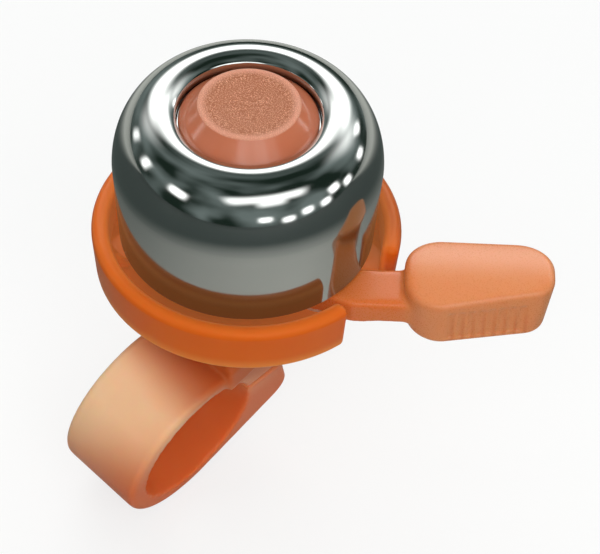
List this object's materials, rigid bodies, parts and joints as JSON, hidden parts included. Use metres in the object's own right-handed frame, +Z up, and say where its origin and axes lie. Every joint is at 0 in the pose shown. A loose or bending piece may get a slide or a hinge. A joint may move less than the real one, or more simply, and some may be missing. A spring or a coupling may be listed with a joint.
{
  "type": "bicycle bell",
  "caption": "Small thumb-lever bicycle bell: chromed dome with a button cap, in an open plastic guard ring on a split handlebar strap.",
  "frame": {"origin": "middle of the strap's bore, on the handlebar's axis", "axes": "+Z up along the bell's axis; +X along the handlebar as seen from above; +Y from the handlebar towards the bell. The bore's axis leans in the XZ plane."},
  "size_m": [0.0659, 0.0573, 0.0672],
  "materials": {
    "orange_shell": "translucent orange polycarbonate, satin",
    "salmon_lever": "translucent salmon orange, fine moulded texture",
    "peach_strap": "soft translucent peach elastomer",
    "coral_plastic": "glossy bevel with a fine-grained top",
    "chrome_steel": "bright nickel-chrome plate on pressed steel",
    "steel": "bright zinc plate",
    "spring_steel": "polished spring steel",
    "brass": "turned",
    "nylon": "natural",
    "black_rubber": "matt"
  },
  "bodies": {
    "bell_body": {"base": "orange_shell", "clamp_strap": "peach_strap", "clamp_screw": "steel", "clamp_washer": "steel", "clamp_nut": "steel", "center_bolt": "steel", "bolt_nut": "steel", "post_sleeve": "steel", "lower_dome_washer": "black_rubber", "dome": "chrome_steel", "upper_dome_washer": "steel", "button_cap": "coral_plastic", "pivot_pin": "steel", "pivot_washer": "nylon", "pivot_clip": "steel", "return_spring": "spring_steel", "stop_bumper": "black_rubber"},
    "lever": {"lever": "salmon_lever", "pivot_bush": "brass", "leaf_spring": "spring_steel", "leaf_rivets": "steel"},
    "hammer": {"hammer": "brass", "hammer_rivet": "steel"}
  },
  "joints": [
    {"name": "lever_swing", "type": "hinge", "parent": "bell_body", "child": "lever", "pos_m": [0.01463, 0.01819, 0.0246], "axis": [0, 0, 1], "range_deg": [0, 9], "stiffness_Nm_per_rad": 0.03, "springref_deg": -28.65, "deforming": ["return_spring"]},
    {"name": "hammer_flex", "type": "hinge", "parent": "lever", "child": "hammer", "pos_m": [0.00992, 0.0109, 0.0306], "axis": [0, 0, 1], "range_deg": [-3, 3], "stiffness_Nm_per_rad": 0.05, "deforming": ["leaf_spring"]}
  ]
}
